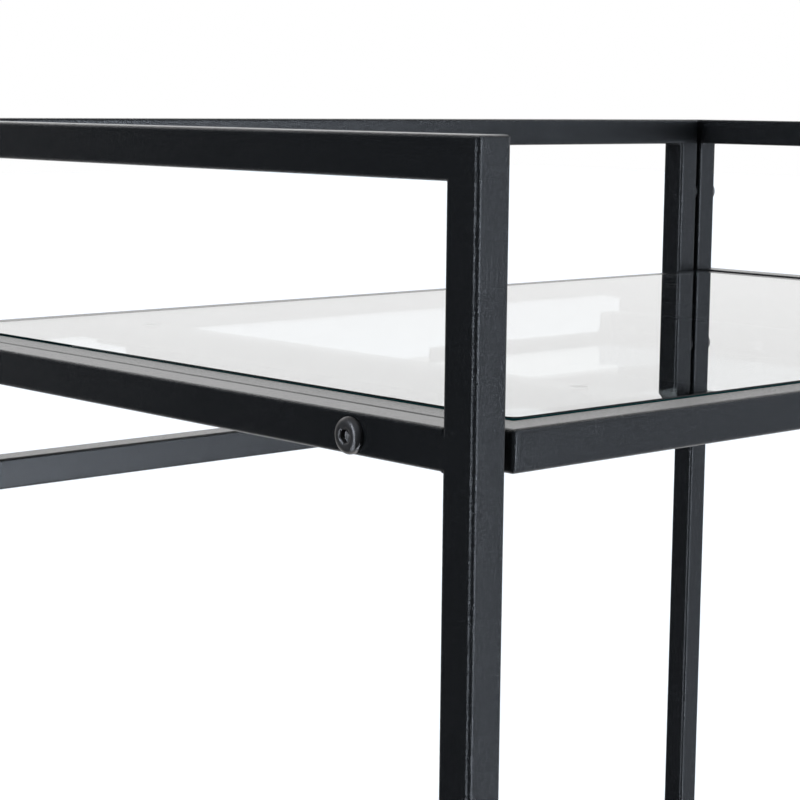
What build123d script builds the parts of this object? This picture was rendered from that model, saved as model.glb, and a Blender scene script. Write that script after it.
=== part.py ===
"""Computer desk: welded square-tube steel, a drop-in glass top inside a raised three-sided
gallery, and a glass-panelled keyboard tray on two full-extension slides.

The origin is on the floor under the middle of the desk. X runs to the right along the front,
Y towards the back and Z up. Everything is in millimetres.
"""
import os

from build123d import *

# ---- overall size --------------------------------------------------------------------------
WIDTH = 800.0          # over the outside of the two side frames
DEPTH = 550.0          # front of the front legs to the back of the rear legs
RAIL_TOP = 750.0       # floor to the top of the side rails, the height of the desktop
GALLERY_TOP = 876.0    # floor to the top of the raised gallery

# ---- square tube ---------------------------------------------------------------------------
TUBE = 20.0            # outside of the square tube
TUBE_WALL = 1.5
TUBE_RADIUS = 2.2      # outside corner of the tube, and of the ground mitres

# ---- the four welded frames ----------------------------------------------------------------
SIDE_GAP = 4.0         # desktop frame to each side frame
BACK_GAP = 3.5         # back frame to each rear leg, and to the desktop frame
DESKTOP_STEP = 1.0     # desktop frame below the top of the side rails
BACK_BOTTOM_TOP = RAIL_TOP - 92.0   # top of the back frame's lower rail

# ---- glass ---------------------------------------------------------------------------------
GLASS_THICK = 8.0
GLASS_PROUD = 0.8      # glass above the desktop frame
GLASS_CLEARANCE = 1.0  # glass to the rails around it
GLASS_CORNER = 6.0
GLASS_ARRIS = 0.6
TAB_SIZE = (20.0, 12.0, 2.0)        # along the rail, out from it, thick
TAB_INSET = 90.0                    # side tabs, from the front and back rails
TAB_X = 120.0                       # front and back tabs, from the middle
BUMPER_DIAMETER = 9.0
BEARER_BUMPER_INSET = 60.0

# ---- bolts and their inserts ---------------------------------------------------------------
BOLT_DIAMETER = 8.0
BOLT_HEAD = (17.5, 3.9)             # diameter, height
BOLT_RIM = 1.0                      # straight side under the dome
BOLT_CROWN = 0.62                   # flat on top, as a part of the head's radius
BOLT_HEX = 6.0                      # across flats
BOLT_SOCKET_FLOOR = 1.0             # under the socket, above the seat
BOLT_CHAMFER = 0.9
BOLT_HOLE = 8.6
INSERT_BODY = 11.0                  # rivet nut, outside of its barrel
INSERT_FLANGE = (14.0, 1.0)         # diameter, thick
INSERT_LENGTH = 13.0
SPACER_DIAMETER = 16.0
DESKTOP_BOLT_Y = 195.0              # front and back of the middle, through the side rails
BACK_BOLT_Z = (RAIL_TOP + 65.0, RAIL_TOP - 58.0)

# ---- feet ----------------------------------------------------------------------------------
FOOT_HEIGHT = 5.0
FOOT_PLUG_DEPTH = 22.0
FOOT_FIT = 0.15                     # plug inside the tube, each side
FOOT_EDGE = 1.2
FOOT_FLOOR = 2.0                    # under the hollow of the plug

# ---- keyboard tray -------------------------------------------------------------------------
TRAY_WIDTH = 453.0                  # over the tray's side walls
TRAY_FRONT = -90.0
TRAY_DEPTH = 304.0
TRAY_WALL = 1.5
TRAY_SIDE_HEIGHT = 27.0
TRAY_LIP_HEIGHT = 12.0              # front lip, and the back wall
TRAY_CORNER = 3.0
TRAY_FLANGE = 16.0                  # round the window in the floor, under the glass panel
TRAY_WINDOW_CORNER = 8.0
TRAY_WALL_STEP = 12.0               # side wall that stays full height at the front and back
TRAY_STEP_RADIUS = 6.0
CABLE_NOTCH = (60.0, 7.0, 3.0)      # wide, deep, corner radius, in the back wall
PANEL_THICK = 4.0                   # glass panel of the tray
PANEL_CLEARANCE = 1.5
PANEL_CORNER = 3.0
PANEL_ARRIS = 0.5
TAPE = (10.0, 0.8)                  # foam tape under the panel: wide, thick
SLIDE_LENGTH = 300.0
SLIDE_FRONT = -86.0
SLIDE_CENTRE_Z = RAIL_TOP - 45.0
SLIDE_DEPTH = 10.0                  # tray wall to hanger
SLIDE_METAL = 1.2
OUTER_HALF = 13.5                   # half height of the outer member
MIDDLE_HALF = 9.7
INNER_HALF = 5.9
WEB_GAP = 0.8                       # between the webs of the outer and middle members
CAGE_LENGTH = 96.0
CAGE_CLEARANCE = 0.3
HANGER_METAL = 2.0
HANGER_BEND = 1.5                   # inside radius
HANGER_FLANGE = 24.0
HANGER_LENGTH = 296.0
HANGER_BOTTOM = RAIL_TOP - 60.5
BEARER = (25.0, 12.0)               # wide, high
HANGER_SCREW = (5.0, 10.0)          # diameter, length
HANGER_SCREW_HEAD = (9.2, 2.8)
HANGER_SCREW_CROSS = (4.6, 0.9, 1.5)   # long, wide, deep
HANGER_SCREW_EDGE = 1.2
HANGER_HOLE = 5.6
HANGER_INSERT_HOLE = 7.0
HANGER_INSERT = (6.9, 9.0)          # outside of the barrel, length
HANGER_SCREW_Y = (-60.0, 62.0, 184.0)
SLIDE_RIVET_Y = (-62.0, 64.0, 190.0)
RIVET_SHANK = 3.6
RIVET_HOLE = 3.8
HANGER_RIVET = ((7.5, 1.2), (6.0, 0.5))   # head and tail, each diameter and height
TRAY_RIVET = ((6.0, 0.8), (7.5, 1.0))

# ---- worked out from the above -------------------------------------------------------------
HALF_W = WIDTH / 2
HALF_D = DEPTH / 2
FRAME_TOP = RAIL_TOP - DESKTOP_STEP
FRAME_BOTTOM = FRAME_TOP - TUBE
FRAME_HALF_W = HALF_W - TUBE - SIDE_GAP
FRAME_BACK = HALF_D - TUBE - BACK_GAP
BACK_HALF_W = HALF_W - TUBE - BACK_GAP
GLASS_TOP = FRAME_TOP + GLASS_PROUD
GLASS_BOTTOM = GLASS_TOP - GLASS_THICK
TAB_TOP = FRAME_BOTTOM + BEARER[1]
BUMPER_HEIGHT = GLASS_BOTTOM - TAB_TOP
OPENING_HALF_W = FRAME_HALF_W - TUBE
OPENING_FRONT = TUBE - HALF_D
OPENING_BACK = FRAME_BACK - TUBE
SLIDE_INNER_X = TRAY_WIDTH / 2
SLIDE_OUTER_X = SLIDE_INNER_X + SLIDE_DEPTH
BEARER_X = SLIDE_OUTER_X + HANGER_FLANGE / 2
TRAY_BOTTOM = SLIDE_CENTRE_Z - TRAY_SIDE_HEIGHT / 2

SIDES = (("left", -1), ("right", 1))
nodes = {}


# ---- shapes that repeat --------------------------------------------------------------------
def tube(start, end, width=TUBE, height=TUBE):
    """Hollow tube with rounded corners along the line from start to end.

    Its width lies along Y for a tube along X, and along X for any other."""
    axis = Vector(*end) - Vector(*start)
    across = (0, 1, 0) if abs(axis.X) > 0 else (1, 0, 0)
    section = RectangleRounded(width, height, TUBE_RADIUS)
    section -= RectangleRounded(width - 2 * TUBE_WALL, height - 2 * TUBE_WALL, TUBE_RADIUS - TUBE_WALL)
    return extrude(Plane(start, x_dir=across, z_dir=axis) * section, axis.length)


def mitre(piece, corner, away):
    """Cut the piece on the plane through corner, and drop the part on the side of away."""
    return split(piece, Plane(corner, z_dir=away), keep=Keep.BOTTOM)


def rounded_slab(x_range, y_range, z_range, axis, radius, keep=lambda edge: True):
    """Block with its kept edges along one axis rounded."""
    size = [high - low for low, high in (x_range, y_range, z_range)]
    middle = [(high + low) / 2 for low, high in (x_range, y_range, z_range)]
    block = Pos(*middle) * Box(*size)
    return fillet([edge for edge in block.edges().filter_by(axis) if keep(edge)], radius)


def cross_cylinder(x_start, x_end, y, z, diameter):
    """Cylinder along X."""
    middle = ((x_start + x_end) / 2, y, z)
    return Pos(*middle) * Rot(0, 90, 0) * Cylinder(diameter / 2, abs(x_end - x_start))


def button_bolt(length):
    """Button-head bolt with a hexagon socket, shank along -Z from the seat of its head at the origin."""
    radius, height = BOLT_HEAD[0] / 2, BOLT_HEAD[1]
    crown = radius * BOLT_CROWN
    bulge = (crown + (radius - crown) * 0.68, BOLT_RIM + (height - BOLT_RIM) * 0.72)
    outline = Polyline((0, 0), (radius, 0), (radius, BOLT_RIM))
    outline += ThreePointArc((radius, BOLT_RIM), bulge, (crown, height))
    outline += Polyline((crown, height), (0, height), (0, 0))
    head = revolve(Plane.XZ * make_face(outline), Axis.Z)
    socket = RegularPolygon(BOLT_HEX / 2, 6, major_radius=False)
    socket = extrude(Pos(0, 0, BOLT_SOCKET_FLOOR) * socket, height)
    shank = Pos(0, 0, -length / 2) * Cylinder(BOLT_DIAMETER / 2, length)
    tip = chamfer(shank.edges().sort_by(Axis.Z)[0], BOLT_CHAMFER)
    return head - socket + tip


def rivet_nut(bore, body, flange, length):
    """Rivet nut, barrel along -Z from under its flange at the origin."""
    blank = Pos(0, 0, -length / 2) * Cylinder(body / 2, length)
    blank += Pos(0, 0, flange[1] / 2) * Cylinder(flange[0] / 2, flange[1])
    return blank - Cylinder(bore / 2, 3 * length)


def ring(outer, inner, thick):
    """Flat washer from the origin up."""
    return Pos(0, 0, thick / 2) * (Cylinder(outer / 2, thick) - Cylinder(inner / 2, 2 * thick))


def rivet(head, tail, grip):
    """Flat rivet along Z: head above the origin, shank down through grip, tail below it."""
    body = Pos(0, 0, -grip / 2) * Cylinder(RIVET_SHANK / 2, grip)
    body += Pos(0, 0, head[1] / 2) * Cylinder(head[0] / 2, head[1])
    body += Pos(0, 0, -grip - tail[1] / 2) * Cylinder(tail[0] / 2, tail[1])
    return body


def facing(side, x, y, z):
    """Place a part drawn along +Z so that it points outwards, to the left or right."""
    return Pos(side * x, y, z) * Rot(0, side * 90, 0)


# ---- side frames: one welded loop each side, with a rail at desktop height -----------------
def side_frame(name, side):
    middle = side * (HALF_W - TUBE / 2)
    leg_y = HALF_D - TUBE / 2
    outline = rounded_slab(
        (middle - TUBE, middle + TUBE), (-HALF_D, HALF_D), (FOOT_HEIGHT, GALLERY_TOP), Axis.X,
        TUBE_RADIUS, lambda edge: edge.center().Z > RAIL_TOP)
    top = tube((middle, -HALF_D, GALLERY_TOP - TUBE / 2), (middle, HALF_D, GALLERY_TOP - TUBE / 2))
    for end, leg_name in ((-1, "front"), (1, "rear")):
        corner = (middle, end * HALF_D, GALLERY_TOP)
        leg = tube((middle, end * leg_y, FOOT_HEIGHT), (middle, end * leg_y, GALLERY_TOP))
        leg = mitre(leg, corner, (0, -end, 1)) & outline
        if end > 0:
            for z in BACK_BOLT_Z:
                leg -= cross_cylinder(middle - TUBE, middle + TUBE, leg_y, z, BOLT_HOLE)
        nodes[f"{name}_{leg_name}_leg"] = leg
        top = mitre(top, corner, (0, end, -1))
    nodes[f"{name}_top_rail"] = top & outline
    rail_end = HALF_D - TUBE
    rail_z = RAIL_TOP - TUBE / 2
    rail = tube((middle, -rail_end, rail_z), (middle, rail_end, rail_z))
    for y in (-DESKTOP_BOLT_Y, DESKTOP_BOLT_Y):
        rail -= cross_cylinder(middle - TUBE, middle + TUBE, y, FRAME_TOP - TUBE / 2, BOLT_HOLE)
    nodes[f"{name}_side_rail"] = rail


# ---- feet: nylon plugs pressed into the legs -----------------------------------------------
def foot(x, y):
    pad = rounded_slab((x - TUBE / 2, x + TUBE / 2), (y - TUBE / 2, y + TUBE / 2), (0, FOOT_HEIGHT),
                       Axis.Z, TUBE_RADIUS)
    pad = fillet(pad.faces().sort_by(Axis.Z)[0].edges(), FOOT_EDGE)
    half = TUBE / 2 - TUBE_WALL - FOOT_FIT
    plug = rounded_slab((x - half, x + half), (y - half, y + half),
                        (FOOT_HEIGHT, FOOT_HEIGHT + FOOT_PLUG_DEPTH), Axis.Z, 1.0)
    hollow = Pos(x, y, FOOT_HEIGHT + FOOT_PLUG_DEPTH / 2 + FOOT_FLOOR) * Box(half, half, FOOT_PLUG_DEPTH)
    return pad + plug - hollow


# ---- back frame: a welded rectangle bolted between the rear legs ---------------------------
def back_frame():
    y = HALF_D - TUBE / 2
    post_bottom = BACK_BOTTOM_TOP - TUBE
    rail_zs = {"back_top_rail": (GALLERY_TOP, 1), "back_bottom_rail": (post_bottom, -1)}
    outline = rounded_slab((-BACK_HALF_W, BACK_HALF_W), (y - TUBE, y + TUBE), (post_bottom, GALLERY_TOP),
                           Axis.Y, TUBE_RADIUS)
    for name, (edge_z, up) in rail_zs.items():
        z = edge_z - up * TUBE / 2
        rail = tube((-BACK_HALF_W, y, z), (BACK_HALF_W, y, z))
        for _, side in SIDES:
            rail = mitre(rail, (side * BACK_HALF_W, y, edge_z), (side, 0, -up))
        nodes[name] = rail & outline
    for name, side in SIDES:
        x = side * (BACK_HALF_W - TUBE / 2)
        post = tube((x, y, post_bottom), (x, y, GALLERY_TOP))
        for edge_z, up in rail_zs.values():
            post = mitre(post, (side * BACK_HALF_W, y, edge_z), (-side, 0, up))
        for z in BACK_BOLT_Z:
            post -= cross_cylinder(side * BACK_HALF_W, side * (BACK_HALF_W - 3), y, z, INSERT_BODY)
        nodes[f"back_{name}_post"] = post & outline


# ---- desktop frame: a welded rectangle that holds the glass --------------------------------
def desktop_frame():
    z = FRAME_TOP - TUBE / 2
    outline = rounded_slab((-FRAME_HALF_W, FRAME_HALF_W), (-HALF_D, FRAME_BACK),
                           (FRAME_BOTTOM - 1, FRAME_TOP + 1), Axis.Z, TUBE_RADIUS)
    for name, edge_y, out in (("desktop_front_rail", -HALF_D, -1), ("desktop_rear_rail", FRAME_BACK, 1)):
        y = edge_y - out * TUBE / 2
        rail = tube((-FRAME_HALF_W, y, z), (FRAME_HALF_W, y, z))
        for _, side in SIDES:
            rail = mitre(rail, (side * FRAME_HALF_W, edge_y, z), (side, -out, 0))
        nodes[name] = rail & outline
    for name, side in SIDES:
        x = side * (FRAME_HALF_W - TUBE / 2)
        rail = tube((x, -HALF_D, z), (x, FRAME_BACK, z))
        rail = mitre(rail, (side * FRAME_HALF_W, -HALF_D, z), (-side, -1, 0))
        rail = mitre(rail, (side * FRAME_HALF_W, FRAME_BACK, z), (-side, 1, 0))
        for y in (-DESKTOP_BOLT_Y, DESKTOP_BOLT_Y):
            rail -= cross_cylinder(side * FRAME_HALF_W, side * (FRAME_HALF_W - 3), y, z, INSERT_BODY)
        nodes[f"desktop_{name}_rail"] = rail & outline


# ---- bearers: flat tubes under the glass, front to back, that carry the tray's hangers -----
def tray_bearer(side):
    z = FRAME_BOTTOM + BEARER[1] / 2
    bearer = tube((side * BEARER_X, OPENING_FRONT, z), (side * BEARER_X, OPENING_BACK, z), *BEARER)
    for y in HANGER_SCREW_Y:
        bearer -= Pos(side * BEARER_X, y, FRAME_BOTTOM) * Cylinder(HANGER_INSERT_HOLE / 2, 6)
    return bearer


# ---- glass, and what it rests on -----------------------------------------------------------
def glass():
    y_range = (OPENING_FRONT + GLASS_CLEARANCE, OPENING_BACK - GLASS_CLEARANCE)
    half = OPENING_HALF_W - GLASS_CLEARANCE
    sheet = rounded_slab((-half, half), y_range, (GLASS_BOTTOM, GLASS_TOP), Axis.Z, GLASS_CORNER)
    faces = sheet.faces().sort_by(Axis.Z)
    return chamfer(faces[0].edges() + faces[-1].edges(), GLASS_ARRIS)


def glass_supports():
    """Tabs welded inside the rails, and a bumper on each tab and on the bearers."""
    along, out, thick = TAB_SIZE
    tabs = []
    spots = []
    middle_y = (OPENING_FRONT + OPENING_BACK) / 2
    for _, side in SIDES:
        for y in (OPENING_FRONT + TAB_INSET, middle_y, OPENING_BACK - TAB_INSET):
            x = side * (OPENING_HALF_W - out / 2)
            tabs.append(Pos(x, y, TAB_TOP - thick / 2) * Box(out, along, thick))
            spots.append((x, y))
        for y in (OPENING_FRONT + out / 2, OPENING_BACK - out / 2):
            x = side * TAB_X
            tabs.append(Pos(x, y, TAB_TOP - thick / 2) * Box(along, out, thick))
            spots.append((x, y))
        for y in (OPENING_FRONT + BEARER_BUMPER_INSET, OPENING_BACK - BEARER_BUMPER_INSET):
            spots.append((side * BEARER_X, y))
    nodes["glass_support_tabs"] = tabs
    bumper = Pos(0, 0, BUMPER_HEIGHT / 2) * Cylinder(BUMPER_DIAMETER / 2, BUMPER_HEIGHT)
    nodes["glass_bumpers"] = [Pos(x, y, TAB_TOP) * bumper for x, y in spots]


# ---- bolts, spacers and rivet nuts between the frames --------------------------------------
def frame_fasteners():
    z = FRAME_TOP - TUBE / 2
    leg_y = HALF_D - TUBE / 2
    desktop = [(side, y, z) for _, side in SIDES for y in (-DESKTOP_BOLT_Y, DESKTOP_BOLT_Y)]
    back = [(side, leg_y, bolt_z) for _, side in SIDES for bolt_z in BACK_BOLT_Z]
    insert = rivet_nut(BOLT_DIAMETER + 0.2, INSERT_BODY, INSERT_FLANGE, INSERT_LENGTH)
    for name, spots, gap in (("desktop", desktop, SIDE_GAP), ("back_frame", back, BACK_GAP)):
        bolt = button_bolt(TUBE + gap + INSERT_LENGTH)
        spacer = ring(SPACER_DIAMETER, BOLT_HOLE, gap - INSERT_FLANGE[1])
        seat = HALF_W - TUBE - gap
        nodes[f"{name}_bolts"] = [facing(side, HALF_W, y, h) * bolt for side, y, h in spots]
        nodes[f"{name}_rivet_nuts"] = [facing(side, seat, y, h) * insert for side, y, h in spots]
        nodes[f"{name}_spacers"] = [facing(side, seat + INSERT_FLANGE[1], y, h) * spacer
                                    for side, y, h in spots]


# ---- tray hangers --------------------------------------------------------------------------
def tray_hanger(side):
    """Bent angle: a flange under the bearer and a plate down beside the slide."""
    x = SLIDE_OUTER_X
    outline = Polyline((x, HANGER_BOTTOM), (x, FRAME_BOTTOM), (x + HANGER_FLANGE, FRAME_BOTTOM),
                       (x + HANGER_FLANGE, FRAME_BOTTOM - HANGER_METAL),
                       (x + HANGER_METAL, FRAME_BOTTOM - HANGER_METAL),
                       (x + HANGER_METAL, HANGER_BOTTOM), (x, HANGER_BOTTOM))
    section = make_face(outline)
    inside = section.vertices().sort_by_distance((x + HANGER_METAL, FRAME_BOTTOM - HANGER_METAL))[0]
    section = fillet(inside, HANGER_BEND)
    section = fillet(section.vertices().sort_by_distance((x, FRAME_BOTTOM))[0], HANGER_BEND + HANGER_METAL)
    angle = Pos(0, SLIDE_FRONT + SLIDE_LENGTH, 0) * (Plane.XZ * section)
    angle = extrude(angle, HANGER_LENGTH)
    for y in HANGER_SCREW_Y:
        angle -= Pos(BEARER_X, y, FRAME_BOTTOM) * Cylinder(HANGER_HOLE / 2, 10)
    for y in SLIDE_RIVET_Y:
        angle -= cross_cylinder(x - 1, x + HANGER_METAL + 1, y, SLIDE_CENTRE_Z, RIVET_HOLE)
    return angle if side > 0 else mirror(angle, Plane.YZ)


def hanger_fasteners():
    """Pan-head screws up through the hanger flanges into rivet nuts in the bearers."""
    diameter, length = HANGER_SCREW
    head_diameter, head_height = HANGER_SCREW_HEAD
    head = Pos(0, 0, -head_height / 2) * Cylinder(head_diameter / 2, head_height)
    head = fillet(head.edges().sort_by(Axis.Z)[0], HANGER_SCREW_EDGE)
    arm, wide, deep = HANGER_SCREW_CROSS
    cross = Pos(0, 0, -head_height) * (Box(arm, wide, 2 * deep) + Box(wide, arm, 2 * deep))
    screw = head - cross + Pos(0, 0, length / 2) * Cylinder(diameter / 2, length)
    insert = ring(HANGER_INSERT[0], diameter + 0.2, HANGER_INSERT[1])
    spots = [(side * BEARER_X, y) for _, side in SIDES for y in HANGER_SCREW_Y]
    under = FRAME_BOTTOM - HANGER_METAL
    nodes["hanger_screws"] = [Pos(x, y, under) * screw for x, y in spots]
    nodes["hanger_rivet_nuts"] = [Pos(x, y, FRAME_BOTTOM) * insert for x, y in spots]


# ---- telescopic slides: outer, middle and inner members with ball cages between them -------
def channel(web_x, toward, half_height, reach):
    """Channel along Y: its web stands at web_x, and its flanges reach from there along toward."""
    web = web_x + toward * SLIDE_METAL
    tip = web_x + toward * reach
    inner = half_height - SLIDE_METAL
    outline = Polyline((web_x, -half_height), (tip, -half_height), (tip, -inner), (web, -inner),
                       (web, inner), (tip, inner), (tip, half_height), (web_x, half_height),
                       (web_x, -half_height))
    section = make_face(outline)
    corners = [v for v in section.vertices() if abs(v.X - web_x) < 0.01]
    section = fillet(corners, SLIDE_METAL)
    placed = Pos(0, SLIDE_FRONT + SLIDE_LENGTH, SLIDE_CENTRE_Z) * (Plane.XZ * section)
    return extrude(placed, SLIDE_LENGTH)


def ball_cage(side, y, z_low, z_high, x_low, x_high):
    """Strip that holds a row of balls, in the space between two flanges."""
    z = SLIDE_CENTRE_Z
    thick = z_high - z_low - 2 * CAGE_CLEARANCE
    strip = Box(x_high - x_low, CAGE_LENGTH, thick)
    middle = (z_low + z_high) / 2
    x = side * (x_low + x_high) / 2
    return [Pos(x, y, z + up * middle) * strip for up in (-1, 1)]


def slide(name, side):
    outer_web = side * SLIDE_OUTER_X
    middle_web = side * (SLIDE_OUTER_X - SLIDE_METAL - WEB_GAP)
    inner_web = side * SLIDE_INNER_X
    outer = channel(outer_web, -side, OUTER_HALF, SLIDE_DEPTH - 1.0)
    middle = channel(middle_web, -side, MIDDLE_HALF, SLIDE_DEPTH - 3.0)
    inner = channel(inner_web, side, INNER_HALF, SLIDE_DEPTH - SLIDE_METAL * 2 - WEB_GAP - 1.0)
    for y in SLIDE_RIVET_Y:
        outer -= cross_cylinder(outer_web - 3, outer_web + 3, y, SLIDE_CENTRE_Z, RIVET_HOLE)
        inner -= cross_cylinder(inner_web - 3, inner_web + 3, y, SLIDE_CENTRE_Z, RIVET_HOLE)
    nodes[f"{name}_slide_outer_member"] = outer
    nodes[f"{name}_slide_middle_member"] = middle
    nodes[f"{name}_slide_inner_member"] = inner
    low, high = SLIDE_INNER_X + 1.4, SLIDE_OUTER_X - 4.0
    back = SLIDE_FRONT + SLIDE_LENGTH - CAGE_LENGTH / 2 - 2
    front = SLIDE_FRONT + CAGE_LENGTH / 2 + 2
    nodes[f"{name}_slide_ball_cages"] = (
        ball_cage(side, back, MIDDLE_HALF, OUTER_HALF - SLIDE_METAL, low + 1.0, high)
        + ball_cage(side, front, INNER_HALF, MIDDLE_HALF - SLIDE_METAL, low, high - 2.4))


def slide_rivets():
    """Flat rivets: slides to hangers outside, and to the tray's walls inside."""
    hanger_rivet = rivet(*HANGER_RIVET, HANGER_METAL + SLIDE_METAL)
    tray_rivet = rivet(*TRAY_RIVET, TRAY_WALL + SLIDE_METAL)
    spots = [(side, y) for _, side in SIDES for y in SLIDE_RIVET_Y]
    nodes["hanger_rivets"] = [facing(side, SLIDE_OUTER_X + HANGER_METAL, y, SLIDE_CENTRE_Z) * hanger_rivet
                              for side, y in spots]
    nodes["tray_rivets"] = [facing(side, SLIDE_INNER_X + SLIDE_METAL, y, SLIDE_CENTRE_Z) * tray_rivet
                            for side, y in spots]


# ---- keyboard tray: a folded sheet-steel frame with a glass panel ---------------------------
def tray_window(grow=0.0):
    """Block as large as the window in the tray's floor, and larger by grow on each side."""
    half = TRAY_WIDTH / 2 - TRAY_FLANGE + grow
    y_range = (TRAY_FRONT + TRAY_FLANGE - grow, TRAY_FRONT + TRAY_DEPTH - TRAY_FLANGE + grow)
    return rounded_slab((-half, half), y_range, (TRAY_BOTTOM - 2, TRAY_BOTTOM + 10), Axis.Z,
                        TRAY_WINDOW_CORNER + grow)


def keyboard_tray():
    half = TRAY_WIDTH / 2
    back = TRAY_FRONT + TRAY_DEPTH
    top = TRAY_BOTTOM + TRAY_SIDE_HEIGHT
    shell = rounded_slab((-half, half), (TRAY_FRONT, back), (TRAY_BOTTOM, top + 5), Axis.Z, TRAY_CORNER)
    shell = fillet(shell.faces().sort_by(Axis.Z)[0].edges(), TRAY_CORNER - 0.5)
    inside = rounded_slab((TRAY_WALL - half, half - TRAY_WALL), (TRAY_FRONT + TRAY_WALL, back - TRAY_WALL),
                          (TRAY_BOTTOM + TRAY_WALL, top + 10), Axis.Z, TRAY_CORNER - TRAY_WALL)
    inside = fillet(inside.faces().sort_by(Axis.Z)[0].edges(), 1.0)
    pan = shell - inside - Pos(0, TRAY_FRONT + TRAY_DEPTH / 2, top + 10) * Box(600, 400, 20)
    pan -= tray_window()
    lip_top = TRAY_BOTTOM + TRAY_LIP_HEIGHT
    for y in (TRAY_FRONT, back):
        notch = Pos(0, y, (lip_top + top) / 2 + 5) * Box(TRAY_WIDTH - 2 * TRAY_WALL_STEP, 12,
                                                        top - lip_top + 10)
        pan -= fillet(notch.edges().filter_by(Axis.Y).group_by(Axis.Z)[0], TRAY_STEP_RADIUS)
    wide, deep, radius = CABLE_NOTCH
    cable = Pos(0, back, lip_top) * Box(wide, 12, 2 * deep)
    pan -= fillet(cable.edges().filter_by(Axis.Y).group_by(Axis.Z)[0], radius)
    for _, side in SIDES:
        for y in SLIDE_RIVET_Y:
            pan -= cross_cylinder(side * (half - 4), side * (half + 1), y, SLIDE_CENTRE_Z, RIVET_HOLE)
    return pan


def tray_panel():
    """Glass panel that lies in the tray, and the ring of foam tape that it lies on."""
    floor = TRAY_BOTTOM + TRAY_WALL
    gap = TRAY_WALL + PANEL_CLEARANCE
    half = TRAY_WIDTH / 2 - gap
    y_range = (TRAY_FRONT + gap, TRAY_FRONT + TRAY_DEPTH - gap)
    tape_wide, tape_thick = TAPE
    panel = rounded_slab((-half, half), y_range, (floor + tape_thick, floor + tape_thick + PANEL_THICK),
                         Axis.Z, PANEL_CORNER)
    faces = panel.faces().sort_by(Axis.Z)
    nodes["tray_glass"] = chamfer(faces[0].edges() + faces[-1].edges(), PANEL_ARRIS)
    slack = (TRAY_FLANGE - gap - tape_wide) / 2
    ring_block = tray_window(slack + tape_wide) - tray_window(slack)
    nodes["tray_glass_tape"] = ring_block & (Pos(0, 0, floor + tape_thick / 2) * Box(900, 900, tape_thick))


# ---- build and write -----------------------------------------------------------------------
for side_name, side_sign in SIDES:
    side_frame(side_name, side_sign)
    for end_name, end_sign in (("front", -1), ("rear", 1)):
        nodes[f"{side_name}_{end_name}_foot"] = foot(side_sign * (HALF_W - TUBE / 2),
                                                     end_sign * (HALF_D - TUBE / 2))
back_frame()
desktop_frame()
glass_supports()
nodes["glass_top"] = glass()
frame_fasteners()
for side_name, side_sign in SIDES:
    nodes[f"{side_name}_tray_bearer"] = tray_bearer(side_sign)
    nodes[f"{side_name}_tray_hanger"] = tray_hanger(side_sign)
    slide(side_name, side_sign)
hanger_fasteners()
slide_rivets()
nodes["keyboard_tray"] = keyboard_tray()
tray_panel()

os.makedirs("parts", exist_ok=True)
for node_name, shape in nodes.items():
    solids = shape if isinstance(shape, list) else [shape]
    export_step(Compound(children=[s for item in solids for s in item.solids()]), f"parts/{node_name}.step")
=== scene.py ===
import math

import bpy
import numpy as np
from mathutils import Matrix, Vector


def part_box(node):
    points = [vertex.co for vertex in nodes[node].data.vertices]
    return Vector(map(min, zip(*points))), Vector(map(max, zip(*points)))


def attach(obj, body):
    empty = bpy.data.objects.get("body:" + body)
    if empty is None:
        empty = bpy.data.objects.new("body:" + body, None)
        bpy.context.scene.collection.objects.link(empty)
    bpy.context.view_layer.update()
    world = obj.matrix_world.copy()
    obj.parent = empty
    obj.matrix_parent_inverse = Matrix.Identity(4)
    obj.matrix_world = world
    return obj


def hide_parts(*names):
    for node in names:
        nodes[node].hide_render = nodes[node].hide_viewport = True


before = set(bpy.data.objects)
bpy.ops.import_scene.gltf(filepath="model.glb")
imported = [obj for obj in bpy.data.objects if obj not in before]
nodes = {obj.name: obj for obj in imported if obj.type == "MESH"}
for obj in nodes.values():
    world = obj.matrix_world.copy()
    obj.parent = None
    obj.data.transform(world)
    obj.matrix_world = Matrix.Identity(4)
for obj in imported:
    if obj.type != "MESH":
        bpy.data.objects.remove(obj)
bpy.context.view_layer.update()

scene = bpy.context.scene
SIDES = (("left", -1), ("right", 1))
MM = 0.001

# ---- camera --------------------------------------------------------------------------------
# A long lens a little above the gallery, looking over the left front corner of the desk.
CORNER = Vector((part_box("left_front_leg")[0].x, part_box("left_front_leg")[0].y,
                 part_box("left_side_rail")[1].z))
CAMERA_FROM_CORNER = Vector((-0.6235, -0.6391, 0.1404))
CAMERA_YAW, CAMERA_PITCH, CAMERA_ROLL = 0.7376, 0.1409, 0.0105
LENS_MM, SENSOR_MM = 95.4, 36.0
NEAREST, FARTHEST = 0.02, 60.0

forward = Vector((math.sin(CAMERA_YAW) * math.cos(CAMERA_PITCH),
                  math.cos(CAMERA_YAW) * math.cos(CAMERA_PITCH), -math.sin(CAMERA_PITCH)))
level = Vector((math.cos(CAMERA_YAW), -math.sin(CAMERA_YAW), 0))
right = level * math.cos(CAMERA_ROLL) + level.cross(forward) * math.sin(CAMERA_ROLL)
turn = Matrix((right, right.cross(forward), -forward)).transposed().to_4x4()
camera_data = bpy.data.cameras.new("camera")
camera_data.lens, camera_data.sensor_width = LENS_MM, SENSOR_MM
camera_data.clip_start, camera_data.clip_end = NEAREST, FARTHEST
camera = bpy.data.objects.new("camera", camera_data)
camera.matrix_world = Matrix.Translation(CORNER + CAMERA_FROM_CORNER) @ turn
scene.collection.objects.link(camera)
scene.camera = camera


# ---- square tubes --------------------------------------------------------------------------
# Legs, rails and posts are 20 mm square steel tube, mitred and welded into four flat frames,
# then sprayed with a fine-textured black powder that is baked to a satin skin.
FLAT_TILT, ROUND_TILT = 0.02, 0.29   # 1 less the normal's largest part: on a face, on its edge


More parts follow.
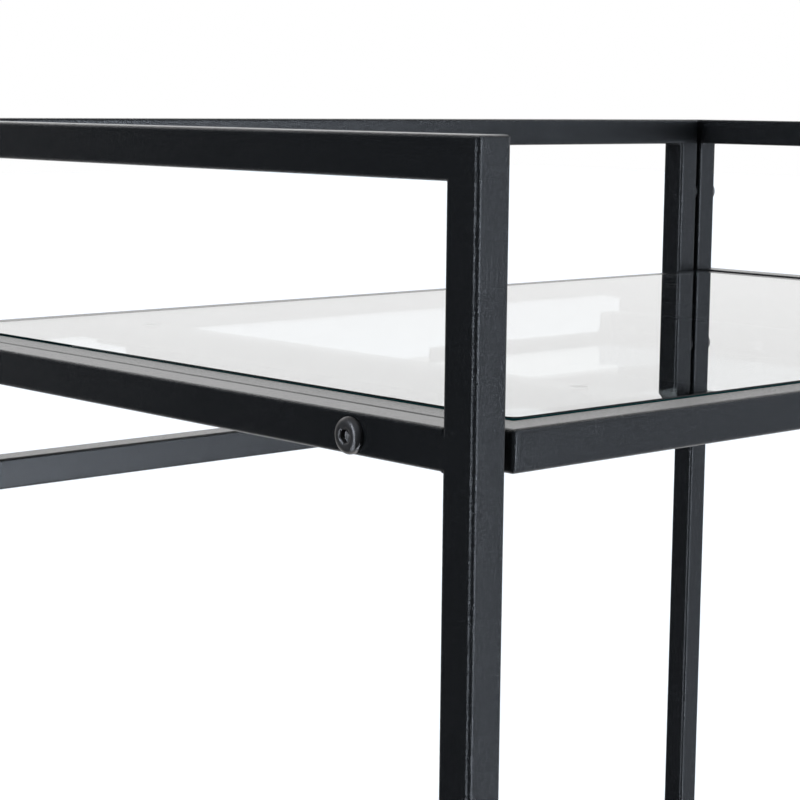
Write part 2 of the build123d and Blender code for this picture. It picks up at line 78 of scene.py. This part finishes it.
class Value:
    """A node socket that takes part in Python sums, so that shader maths reads as a formula."""

    def __init__(self, tree, socket):
        self.tree, self.socket = tree, socket

    def maths(self, operation, *others):
        node = self.tree.nodes.new("ShaderNodeMath")
        node.operation = operation
        for slot, term in zip(node.inputs, (self, *others)):
            put(self.tree, slot, term)
        return Value(self.tree, node.outputs[0])

    def __add__(self, other):
        return self.maths("ADD", other)

    def __sub__(self, other):
        return self.maths("SUBTRACT", other)

    def __rsub__(self, other):
        return self.maths("MULTIPLY", -1.0).maths("ADD", other)

    def __mul__(self, other):
        return self.maths("MULTIPLY", other)

    def __abs__(self):
        return self.maths("ABSOLUTE")

    def between(self, low, high):
        """0 at low and 1 at high, straight between them and held beyond."""
        return ((self - low) * (1.0 / (high - low))).maths("MAXIMUM", 0.0).maths("MINIMUM", 1.0)

    __radd__, __rmul__ = __add__, __mul__


def put(tree, slot, term):
    """Link a value to a socket, or set the socket to a number or a colour."""
    if isinstance(term, Value):
        tree.links.new(term.socket, slot)
    else:
        slot.default_value = term


class Finish:
    """A material, or the studio's world, being made from nodes."""

    def __init__(self, owner):
        owner.use_nodes = True
        self.owner, self.tree = owner, owner.node_tree
        self.tree.nodes.clear()

    def node(self, kind, settings=(), out=0, **sockets):
        """Make any node: apply its settings, then set or link the sockets named or numbered."""
        made = self.tree.nodes.new("ShaderNode" + kind)
        for key, setting in dict(settings).items():
            setattr(made, key, setting)
        for key, term in sockets.items():
            slot = made.inputs[int(key[1:])] if key[1:].isdigit() else made.inputs[key.replace("_", " ")]
            put(self.tree, slot, term)
        return Value(self.tree, made.outputs[out])

    def mix(self, amount, first, second):
        """The first colour, turning into the second as amount goes from 0 to 1."""
        return self.node("Mix", {"data_type": "RGBA"}, 2, i0=amount, i6=first, i7=second)

    def place(self):
        return self.node("TexCoord", out="Object")

    def grain(self, size, detail=2.0, stretch=(1, 1, 1), rough=0.5):
        """Noise whose lumps are about size across, in metres, longer where stretch is over 1."""
        scaled = self.node("Mapping", i0=self.place(), i3=tuple(1 / (size * s) for s in stretch))
        return self.node("TexNoise", Vector=scaled, Scale=1.0, Detail=detail, Roughness=rough)

    def corners(self):
        """0 on faces that look along X, Y or Z, and 1 where an edge is rounded halfway between."""
        normal = self.node("TexCoord", out="Normal")
        along = [abs(self.node("SeparateXYZ", out=axis, Vector=normal)) for axis in range(3)]
        tilt = 1 - along[0].maths("MAXIMUM", along[1]).maths("MAXIMUM", along[2])
        return tilt.between(FLAT_TILT, ROUND_TILT)

    def bump(self, height, depth, under=None):
        """Normal of a surface that rises by depth, in metres, as height goes from 0 to 1."""
        more = {"Normal": under} if under else {}
        return self.node("Bump", Height=height, Strength=1.0, Distance=depth, **more)

    def shader(self, **sockets):
        return self.node("BsdfPrincipled", **sockets)

    def done(self, shader, kind="OutputMaterial"):
        output = self.tree.nodes.new("ShaderNode" + kind)
        self.tree.links.new(shader.socket, output.inputs["Surface"])
        return self.owner


def finish(name):
    return Finish(bpy.data.materials.new(name))


def shade(level, warmth=0.0):
    """Grey of a level, a little bluer where warmth is below 0 and yellower where it is above."""
    return (level * (1 + warmth), level, level * (1 - warmth), 1.0)


def dress(material, *names):
    """Give CAD nodes a finish."""
    for name in names:
        nodes[name].data.materials.clear()
        nodes[name].data.materials.append(material)


LUMP, SPECK, PEEL, PATCH = 0.9 * MM, 0.8 * MM, 9 * MM, 70 * MM
PEEL_DEPTH = 0.05 * MM


def powder_coat(name, dark, rough, texture):
    """Sprayed powder: lumps of about a millimetre and a slower orange peel under a satin skin,
    with paler specks. On rounded edges it is lumpier and glossier, and paler in lumps: partly a
    thinner, worn coat and partly a painted highlight. It is patchy by a few percent elsewhere."""
    f = finish(name)
    lumps = f.grain(LUMP, 2.0, rough=0.6)
    peel = f.grain(PEEL)
    patches = f.grain(PATCH, 3.0)
    specks = f.grain(SPECK).between(0.60, 0.70)
    worn_edges_and_painted_highlight = f.corners() * lumps.between(0.35, 0.75)
    colour = f.mix(patches, shade(dark * 0.85, -0.06), shade(dark * 1.15, -0.08))
    # paler in lumps along rounded edges: partly thinner, worn coat and partly a painted highlight
    colour = f.mix(worn_edges_and_painted_highlight * 0.5, colour, shade(dark * 3.0, -0.10))
    colour = f.mix(specks * 0.6, colour, shade(dark * 5.0, -0.10))
    gloss = rough + (patches - 0.5) * 0.05 + (lumps - 0.5) * 0.05 - worn_edges_and_painted_highlight * 0.06
    skin = f.bump(lumps * (1 + f.corners()), texture, f.bump(peel, PEEL_DEPTH))
    return f.done(f.shader(Base_Color=colour, Roughness=gloss, Normal=skin, Specular_IOR_Level=0.5))


frame_coat = powder_coat("frame_powder_coat", 0.0050, 0.22, 0.20 * MM)
dress(frame_coat, "glass_support_tabs", *[n for n in nodes if n.endswith(("_leg", "_rail", "_post"))])


# ---- welds ---------------------------------------------------------------------------------
# Small beads of weld metal under the coat. The side rails butt against the legs, with a bead
# all round that is ground flush outside. A short bead closes each inside corner of a mitre.
def shell(name, grids, loop=False, crease=40.0, body="root", coat=None,
          replaces=()):
    """Closed skins from points shaped (piece, row, column, xyz). Each row is a ring, neighbours
    are joined by four-sided faces, and the end rows close on a middle point, unless loop joins
    the last row to the first. A skin whose enclosed volume comes out negative is turned round."""
    grids = np.asarray(grids, float)
    count, rows, columns, _ = grids.shape
    row, column = np.meshgrid(np.arange(rows if loop else rows - 1), np.arange(columns), indexing="ij")
    after, beside = (row + 1) % rows, (column + 1) % columns
    quads = np.stack([row * columns + column, row * columns + beside,
                      after * columns + beside, after * columns + column], -1).reshape(-1, 4)
    points = grids.reshape(count, -1, 3)
    fans = np.zeros((0, 3), int)
    if not loop:
        points = np.concatenate([points, grids[:, :1].mean(2), grids[:, -1:].mean(2)], 1)
        ring = np.arange(columns)
        first, last = rows * columns, rows * columns + 1
        start = np.stack([np.full(columns, first), np.roll(ring, -1), ring], -1)
        end = np.stack([np.full(columns, last), (rows - 1) * columns + ring,
                        (rows - 1) * columns + np.roll(ring, -1)], -1)
        fans = np.concatenate([start, end])
    triangles = np.concatenate([quads[:, :3], quads[:, [0, 2, 3]], fans])
    a, b, c = (points[:, triangles[:, k]] - points.mean(1, keepdims=True) for k in range(3))
    inside_out = np.einsum("ktx,ktx->k", a, np.cross(b, c)) < 0
    faces = []
    for piece in range(count):
        step = -1 if inside_out[piece] else 1
        faces += (quads[:, ::step] + piece * points.shape[1]).tolist()
        faces += (fans[:, ::step] + piece * points.shape[1]).tolist()
    mesh = bpy.data.meshes.new(name)
    mesh.from_pydata(points.reshape(-1, 3).tolist(), [], faces)
    mesh.shade_smooth()
    mesh.set_sharp_from_angle(angle=math.radians(crease))
    mesh.materials.append(coat)
    made = bpy.data.objects.new(name, mesh)
    scene.collection.objects.link(made)
    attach(made, body)
    if replaces:
        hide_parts(*replaces)
    return made


def box_ring(half_wide, half_high, radius, flat=14, round_=6):
    """Points round a rectangle with rounded corners, and the way out at each: four quarter
    circles, and between their ends straight runs divided evenly."""
    centres = np.array([(1, 1), (-1, 1), (-1, -1), (1, -1)]) * (half_wide - radius, half_high - radius)
    run = np.linspace(0, 1, flat)[1:-1, None]
    points, outs = [], []
    for quarter in range(4):
        angle = np.radians(90 * quarter + np.linspace(0, 90, round_))
        out = np.stack([np.cos(angle), np.sin(angle)], -1)
        corner = centres[quarter] + radius * out
        following = centres[(quarter + 1) % 4] + radius * out[-1]
        points += [corner, corner[-1] + run * (following - corner[-1])]
        outs += [out, np.repeat(out[-1:], flat - 2, 0)]
    return np.concatenate(points), np.concatenate(outs)


def section(columns, squareness):
    """Cross-section of a bead: a circle whose cosine and sine are raised to a power below 1,
    which flattens its sides."""
    angle = np.linspace(0, 2 * np.pi, columns, endpoint=False)
    bent = [np.sign(w) * np.abs(w) ** squareness for w in (np.cos(angle), np.sin(angle))]
    return np.stack(bent, -1)


def ripples(run, pitch, depth):
    """Thickness along a weld: 1, with shallow scallops one pitch long."""
    return 1 - depth * (1 - np.abs(np.sin(np.pi * run / pitch)))


TUBE = 20 * MM
TUBE_ROUND = 2.2 * MM
RIPPLE_PITCH, RIPPLE_DEPTH = 1.7 * MM, 0.10
OUTER_SUNK, INNER_SUNK, EDGE_SUNK = 1.26 * MM, 0.9 * MM, 0.6 * MM   # bead's middle, below each face
GROUND_HALF, BEAD_HALF, BEAD_HIGH = 3.0 * MM, 1.7 * MM, 1.3 * MM
BEAD_OFF = 0.9 * MM                  # bead's middle, from the end of the rail
START_DIP, START_REACH = 0.75, 2.6 * MM   # the bead starts thin at the outer top corner
SIDEWAYS = 0.7                       # part of the way out that makes a face the outer one


def butt_weld(side, end):
    """Bead round the end of a side rail, carried along a rounded square. It lies deep on the
    outer face, so that a few hundredths of a millimetre show, and stands proud on the others."""
    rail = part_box(f"{side}_side_rail")
    middle = (rail[0] + rail[1]) / 2
    flat, out = box_ring(TUBE / 2, TUBE / 2, TUBE_ROUND)
    outward = -1 if side == "left" else 1
    face = out[:, 0] * outward
    ground = face > SIDEWAYS
    sunk = np.where(ground, OUTER_SUNK, np.where(face < -SIDEWAYS, INNER_SUNK, EDGE_SUNK))
    gap = np.hypot(flat[:, 0] - outward * TUBE / 2, flat[:, 1] - TUBE / 2)
    thick = ripples(np.cumsum(np.hypot(*(flat - np.roll(flat, 1, 0)).T)), RIPPLE_PITCH, RIPPLE_DEPTH)
    thick = np.where(ground, 1.0, thick) * (1 - START_DIP * np.exp(-(gap / START_REACH) ** 2))
    edge = rail[0].y if end < 0 else rail[1].y
    centre = np.stack([middle.x + flat[:, 0] - out[:, 0] * sunk,
                       np.full(len(flat), edge + end * BEAD_OFF),
                       middle.z + flat[:, 1] - out[:, 1] * sunk], -1)
    outs = np.stack([out[:, 0], np.zeros(len(out)), out[:, 1]], -1)
    across, up = section(18, 0.4).T
    half = np.where(ground, GROUND_HALF, BEAD_HALF) * thick
    wide = half[:, None, None] * across[None, :, None] * np.array([0, 1, 0])
    high = BEAD_HIGH * thick[:, None, None] * up[None, :, None] * outs[:, None, :]
    return centre[:, None] + wide + high


shell("side_rail_welds", [butt_weld(side, end) for side, _ in SIDES for end in (-1, 1)],
      loop=True, coat=frame_coat)


def straight_bead(start, stop, radius):
    """Round bead along a line: scalloped, and tapering to a blunt tip over its last radius."""
    start, stop = np.array(start), np.array(stop)
    length = np.linalg.norm(stop - start)
    along = (stop - start) / length
    across = np.cross(along, (0.36, 0.48, 0.8))
    across /= np.linalg.norm(across)
    over = np.cross(along, across)
    t = np.linspace(0, 1, 41)
    tip = np.sqrt(1 - (1 - np.minimum(1, np.minimum(t, 1 - t) * length / radius * 0.9 + 0.05)) ** 2)
    thick = radius * tip * ripples(t * length, RIPPLE_PITCH, RIPPLE_DEPTH)
    ring = section(12, 1.0)
    ring = ring[:, :1] * across + ring[:, 1:] * over
    return start + t[:, None, None] * length * along + thick[:, None, None] * ring


beads = []
INSET = 1.6 * MM                     # end of a bead, inside the tube's rounded edge
FRAME_BEAD, INNER_BEAD = 1.3 * MM, 1.2 * MM
for side, sign in SIDES:
    leg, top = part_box(f"{side}_front_leg"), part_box(f"{side}_top_rail")
    for y in (leg[1].y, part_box(f"{side}_rear_leg")[0].y):
        beads.append(((leg[0].x + INSET, y, top[0].z), (leg[1].x - INSET, y, top[0].z), FRAME_BEAD))
    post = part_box(f"back_{side}_post")
    inner = post[1].x if sign < 0 else post[0].x
    for z in (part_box("back_top_rail")[0].z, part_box("back_bottom_rail")[1].z):
        beads.append(((inner, post[0].y + INSET, z), (inner, post[1].y - INSET, z), FRAME_BEAD))
    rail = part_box(f"desktop_{side}_rail")
    inner = rail[1].x if sign < 0 else rail[0].x
    for y in (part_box("desktop_front_rail")[1].y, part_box("desktop_rear_rail")[0].y):
        beads.append(((inner, y, rail[0].z + INSET), (inner, y, rail[1].z - INSET), INNER_BEAD))
    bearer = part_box(f"{side}_tray_bearer")
    for x in (bearer[0].x, bearer[1].x):
        for y in (bearer[0].y, bearer[1].y):
            beads.append(((x, y, bearer[0].z + INSET), (x, y, bearer[1].z - INSET), INNER_BEAD))
shell("corner_welds", [straight_bead(*bead) for bead in beads], coat=frame_coat)


# ---- glass top -----------------------------------------------------------------------------
# One pane of clear 8 mm tempered glass with a ground and polished edge, which lies on clear
# bumpers inside the desktop frame. Seen from the side, its edge is a deep green.
def clear_glass(name, coat):
    """Clear, mirror-smooth faces under a second clear gloss of the weight coat, and a deep green
    wherever the surface looks sideways. Faint dust dulls the faces by a few thousandths."""
    f = finish(name)
    up = abs(f.node("SeparateXYZ", out=2, Vector=f.node("TexCoord", out="Normal")))
    dust = f.grain(25 * MM, 4.0).between(0.45, 0.9)
    pane = f.shader(Base_Color=f.mix(dust, (0.935, 0.975, 0.97, 1), (0.92, 0.95, 0.95, 1)),
                    Roughness=dust * 0.015, IOR=1.52, Transmission_Weight=1.0,
                    Coat_Weight=coat, Coat_Roughness=0.0, Coat_IOR=1.5)
    stripes = f.grain(0.5 * MM, 2.0, stretch=(30, 30, 1))
    rim = f.shader(Base_Color=f.mix(stripes, (0.001, 0.024, 0.024, 1), (0.003, 0.05, 0.048, 1)),
                   Roughness=0.16 + stripes * 0.1, IOR=1.52)
    return f.done(f.node("MixShader", Fac=up.between(0.6, 0.4), i1=pane, i2=rim))


dress(clear_glass("coated_glass", 1.0), "glass_top")


# ---- bumpers -------------------------------------------------------------------------------
# Clear soft discs stuck on the welded tabs and on the bearers, which the glass lies on.
f = finish("clear_bumper")
haze = f.grain(3 * MM)
bumper = f.done(f.shader(Base_Color=f.mix(haze, shade(0.75), shade(0.9)), Roughness=0.25 + haze * 0.2,
                         Transmission_Weight=0.7, IOR=1.45))
dress(bumper, "glass_bumpers")


# ---- frame bolts ---------------------------------------------------------------------------
# Button-head bolts in black zinc, turned and then broached for a hexagon key. Four hold the
# desktop frame between the side frames and four hold the back frame, through nylon spacers.
def turned(profile, tips, outward, hexagon=(), columns=48):
    """Solids of revolution about X. Each row of the profile gives a radius and a distance out
    from the seat. Rows listed in hexagon bend the circle to a hexagon of that inside radius:
    the radius is divided by the cosine of the angle from the middle of the nearest flat."""
    profile = np.array(profile) * MM
    angle = np.linspace(0, 2 * np.pi, columns, endpoint=False)
    flat = (angle + HEXAGON_TURN) % (np.pi / 3) - np.pi / 6
    six = np.isin(np.arange(len(profile)), list(hexagon))[:, None]
    reach = profile[:, :1] * np.where(six, 1 / np.cos(flat), 1.0)
    grids = []
    for tip, way in zip(tips, outward):
        ring = [np.repeat(way * profile[:, 1:], columns, 1), reach * np.cos(angle), reach * np.sin(angle)]
        grids.append(np.stack(ring, -1) + np.array(tip))
    return grids


def arc(centre, radii, start, stop, count):
    """Points along a quarter ellipse, the angle going from start to stop in degrees."""
    angle = np.radians(np.linspace(start, stop, count))
    return [(centre[0] + radii[0] * math.cos(a), centre[1] + radii[1] * math.sin(a)) for a in angle]


HEXAGON_TURN = 0.30                  # of the key's socket, in radians
HEAD_RADIUS, HEAD_HEIGHT, RIM, CROWN, FOOT_ROUND = 8.75, 3.9, 1.0, 5.6, 0.3
SHANK_RADIUS, SHANK_LENGTH = 4.0, 30
MOUTH, KEY = 4.2, 3.1                # radius of the socket's mouth, and half across its flats
SHANK = [(0.4, -SHANK_LENGTH), (3.1, -SHANK_LENGTH), (SHANK_RADIUS, 1 - SHANK_LENGTH),
         (SHANK_RADIUS, -0.02), (4.1, 0)]
DOME = (arc((HEAD_RADIUS - FOOT_ROUND, FOOT_ROUND), (FOOT_ROUND, FOOT_ROUND), -90, 0, 4)
        + arc((CROWN, RIM), (HEAD_RADIUS - CROWN, HEAD_HEIGHT - RIM), 4, 90, 12)
        + [(4.6, HEAD_HEIGHT), (MOUTH, HEAD_HEIGHT), (MOUTH - 0.15, HEAD_HEIGHT - 0.04)])
SOCKET = [(KEY + 0.3, HEAD_HEIGHT - 0.3), (KEY, HEAD_HEIGHT - 0.6), (KEY, 1.2)]
SOCKET_FLOOR = [(2.6, 1.0), (0.6, 0.7), (0.2, 0.6)]
BOLT = SHANK + DOME + SOCKET + SOCKET_FLOOR
SIX_SIDED = range(len(SHANK + DOME), len(SHANK + DOME + SOCKET))


PAST_FACE = 0.5 * MM                 # what stands further out than this is a bolt's head


def bolt_seats(node):
    """Middle of each bolt's seat on the outside of the tubes, and the way it points."""
    points = np.array([v.co for v in nodes[node].data.vertices])
    seats, ways = [], []
    for side, sign in SIDES:
        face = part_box(f"{side}_front_leg")[0 if sign < 0 else 1].x
        mine = points[points[:, 0] * sign > abs(face) + PAST_FACE]
        spread = mine[:, 1:]
        axis = int(np.ptp(spread[:, 1]) > np.ptp(spread[:, 0]))
        split = spread[:, axis].mean()
        for part in (spread[spread[:, axis] < split], spread[spread[:, axis] >= split]):
            seats.append((face, *((part.min(0) + part.max(0)) / 2)))
            ways.append(sign)
    return seats, ways


def plated(name, colour, rough, streak=(1, 1, 1), wear=0.3):
    """Plated steel: fine satin grain along streak, cloudy patches, and brighter rubbed edges."""
    f = finish(name)
    grain = f.grain(0.5 * MM, 3.0, stretch=streak)
    cloud = f.grain(8 * MM, 3.0)
    rubbed = f.corners() * grain.between(0.4, 0.7) * wear
    tone = f.mix(cloud, tuple(c * 0.8 for c in colour) + (1,), tuple(c * 1.15 for c in colour) + (1,))
    tone = f.mix(rubbed, tone, tuple(min(1, c * 2.5) for c in colour) + (1,))
    return f.done(f.shader(Base_Color=tone, Metallic=1.0, Normal=f.bump(grain, 0.006 * MM),
                           Roughness=rough + (cloud - 0.5) * 0.12 + (grain - 0.5) * 0.08))


black_zinc = plated("black_zinc", (0.17, 0.162, 0.158), 0.38)
for node in ("desktop_bolts", "back_frame_bolts"):
    seats, ways = bolt_seats(node)
    shell(node.replace("bolts", "button_bolts"), turned(BOLT, seats, ways, SIX_SIDED), crease=30,
          coat=black_zinc, replaces=[node])
zinc = plated("bright_zinc", (0.60, 0.61, 0.62), 0.28)
dress(zinc, "desktop_rivet_nuts", "back_frame_rivet_nuts", "hanger_rivet_nuts")


# ---- feet and spacers ----------------------------------------------------------------------
# Moulded black nylon: square plugs pressed into the legs, and thick washers between frames.
f = finish("moulded_nylon")
spark = f.grain(0.35 * MM, 3.0)
flow = f.grain(12 * MM)
scuff = f.corners() * f.grain(2 * MM).between(0.5, 0.7)
tone = f.mix(flow, shade(0.012), shade(0.018))
tone = f.mix(scuff * 0.4, tone, shade(0.06))
nylon = f.done(f.shader(Base_Color=tone, Roughness=0.48 + (spark - 0.5) * 0.2,
                        Normal=f.bump(spark, 0.03 * MM)))
dress(nylon, "desktop_spacers", "back_frame_spacers", *[n for n in nodes if n.endswith("_foot")])


# ---- bearers and hangers -------------------------------------------------------------------
# Two flat tubes welded under the glass from front to back, and a bent steel angle screwed
# under each, whose plate hangs down beside the slide. Both are coated like the frames.
dress(frame_coat, "left_tray_bearer", "right_tray_bearer")
hanger_coat = powder_coat("hanger_powder_coat", 0.008, 0.33, 0.07 * MM)
dress(hanger_coat, "left_tray_hanger", "right_tray_hanger")
dress(black_zinc, "hanger_screws")


# ---- telescopic slides ---------------------------------------------------------------------
# Rolled zinc-plated channels that run in one another on steel balls, riveted to the hangers
# and to the tray. The balls sit in pressed strips that ride with the middle channel.
rolled = plated("rolled_zinc", (0.55, 0.57, 0.59), 0.30, streak=(1, 60, 1), wear=0.2)
dress(rolled, *[n for n in nodes if n.endswith("_member")])
dress(zinc, "hanger_rivets", "tray_rivets")

strips = {}                          # each cage node holds four: front and back, low and high
for side, _ in SIDES:
    cages = nodes[f"{side}_slide_ball_cages"].data
    points = np.array([v.co for v in cages.vertices])
    strips[side] = []
    middle = points[:, 1:].mean(0)
    for back in (False, True):
        for high in (False, True):
            mine = points[((points[:, 1] > middle[0]) == back) & ((points[:, 2] > middle[1]) == high)]
            strips[side].append((mine.min(0), mine.max(0)))

BALL, BALLS_PER_STRIP, END_BALL = 1.25 * MM, 8, 6 * MM   # radius, and first ball from the end
STRIP_HALF, STRIP_ROUND = 0.5 * MM, 0.4 * MM
DRAWN_IN, DRAWN_LENGTH = 0.25, 0.03  # narrowing at the strip's ends, as parts of its size


def strip_skin(low, high):
    """Pressed strip: a rounded rectangle carried along Y, drawn in at its ends."""
    flat, _ = box_ring((high[0] - low[0]) / 2, STRIP_HALF, STRIP_ROUND, 5, 3)
    t = np.linspace(0, 1, 25)
    draw = 1 - DRAWN_IN * np.maximum(0, np.abs(2 * t - 1) - (1 - DRAWN_LENGTH)) / DRAWN_LENGTH
    middle = (low + high) / 2
    rows = np.stack([middle[0] + flat[None, :, 0] * draw[:, None],
                     np.repeat(low[1] + t[:, None] * (high[1] - low[1]), len(flat), 1),
                     middle[2] + flat[None, :, 1] * draw[:, None]], -1)
    return rows


def ball_skins(low, high):
    """Row of spheres: rings at steps of latitude about Y."""
    middle = (low + high) / 2
    latitude = np.radians(np.linspace(-80, 80, 9))[:, None]
    angle = np.linspace(0, 2 * np.pi, 14, endpoint=False)[None]
    ball = np.stack([np.cos(latitude) * np.cos(angle), np.sin(latitude) * np.ones_like(angle),
                     np.cos(latitude) * np.sin(angle)], -1) * BALL
    spots = np.linspace(low[1] + END_BALL, high[1] - END_BALL, BALLS_PER_STRIP)
    return [ball + np.array((middle[0], y, middle[2])) for y in spots]


cage_steel = plated("cage_steel", (0.40, 0.40, 0.41), 0.35, streak=(1, 20, 1))
ball_steel = plated("ball_steel", (0.72, 0.72, 0.73), 0.12, wear=0.0)
for side, _ in SIDES:
    body = f"{side}_slide_middle"
    shell(f"{side}_ball_strips", [strip_skin(low, high) for low, high in strips[side]], body=body,
          coat=cage_steel, replaces=[f"{side}_slide_ball_cages"])
    shell(f"{side}_balls", sum([ball_skins(low, high) for low, high in strips[side]], []), body=body,
          coat=ball_steel)


# ---- keyboard tray -------------------------------------------------------------------------
# A folded steel pan with a wide window in its floor, coated like the frames. A 4 mm glass
# panel lies in it on a ring of foam tape, so that the tray hardly shows under the desktop.
tray_coat = powder_coat("tray_powder_coat", 0.0065, 0.28, 0.08 * MM)
dress(tray_coat, "keyboard_tray")
dress(clear_glass("plain_glass", 0.0), "tray_glass")
f = finish("foam_tape")
cells = f.grain(0.4 * MM, 2.0)
dress(f.done(f.shader(Base_Color=f.mix(cells, shade(0.01), shade(0.03)), Roughness=0.85 + cells * 0.1,
                      Normal=f.bump(cells, 0.08 * MM))), "tray_glass_tape")


# ---- studio --------------------------------------------------------------------------------
# A pale floor without an edge in view, and soft light: white behind the desk and overhead, dim
# and cool to the left, brighter to the right, and a tall thin strip each side of the camera.
FLOOR_HALF = 20
floor_mesh = bpy.data.meshes.new("floor")
floor_mesh.from_pydata([(x * FLOOR_HALF, y * FLOOR_HALF, 0) for x, y in ((-1, -1), (1, -1), (1, 1), (-1, 1))],
                       [], [(0, 1, 2, 3)])
floor = bpy.data.objects.new("floor", floor_mesh)
scene.collection.objects.link(floor)
f = finish("floor_paper")
fibre = f.grain(2 * MM)
floor_mesh.materials.append(f.done(f.shader(
    Base_Color=f.mix(fibre, shade(0.90), shade(0.92)), Roughness=0.9, Specular_IOR_Level=0.2)))
for unmirrored in (floor, nodes["back_top_rail"]):   # their mirror images would darken the glass
    unmirrored.visible_glossy = False

world = bpy.data.worlds.new("studio")
scene.world = world
f = Finish(world)
way = f.node("TexCoord", out="Generated")
ahead, aside = Vector((math.sin(CAMERA_YAW), math.cos(CAMERA_YAW), 0)), level
depth = f.node("VectorMath", {"operation": "DOT_PRODUCT"}, "Value", i0=way, i1=tuple(ahead))
across = f.node("VectorMath", {"operation": "DOT_PRODUCT"}, "Value", i0=way, i1=tuple(aside))
rise = f.node("SeparateXYZ", out=2, Vector=way)
bearing = across.maths("ARCTAN2", depth) * (180 / math.pi)


def band(start, stop, soft):
    """1 between two bearings, in degrees to the right of the camera's, fading over soft."""
    return bearing.between(start - soft, start + soft) * bearing.between(stop + soft, stop - soft)


DIM, STRETCHES = 0.062, (            # first and last bearing, softness of the ends, brightness
    (-58, 70, 6, 0.915),             # backdrop
    (76, 97, 4, 0.72),               # right wall
    (-121, -117, 2, 18.0),           # left strip
    (111, 115, 2, 26.0))             # right strip
BACK_BANK, BANK_RISE, BANK_EXTRA = (-48, 55, 6), (0.24, 0.34), 0.985
OVERHEAD_RISE, OVERHEAD, OVERHEAD_MIRRORED = (0.40, 0.60), 1.35, 0.2
WHITE_STRETCH, COOL = (-58, 58, 6), (0.86, 0.95, 1.08, 1.0)

level_light = DIM
for start, stop, soft, brightness in STRETCHES:
    level_light = level_light + band(start, stop, soft) * (brightness - DIM)
level_light = level_light + band(*BACK_BANK) * rise.between(*BANK_RISE) * BANK_EXTRA

# What mirrors the overhead light sees it dim. Directly, or through glass, all is plain white.
overhead = rise.between(*OVERHEAD_RISE)
mirrored = f.node("LightPath", out="Is Glossy Ray")
overhead_light = OVERHEAD - mirrored * (OVERHEAD - OVERHEAD_MIRRORED)
light = level_light * (1 - overhead) + overhead * overhead_light
lit = f.node("Background", Color=f.mix(band(*WHITE_STRETCH), COOL, shade(1.0)), Strength=light)
seen = f.node("Background", Color=shade(1.0), Strength=1.0)
plain = f.node("LightPath", out="Is Camera Ray").maths(
    "MAXIMUM", f.node("LightPath", out="Is Transmission Ray"))
f.done(f.node("MixShader", Fac=plain, i1=lit, i2=seen), "OutputWorld")
scene.view_settings.view_transform = "Standard"
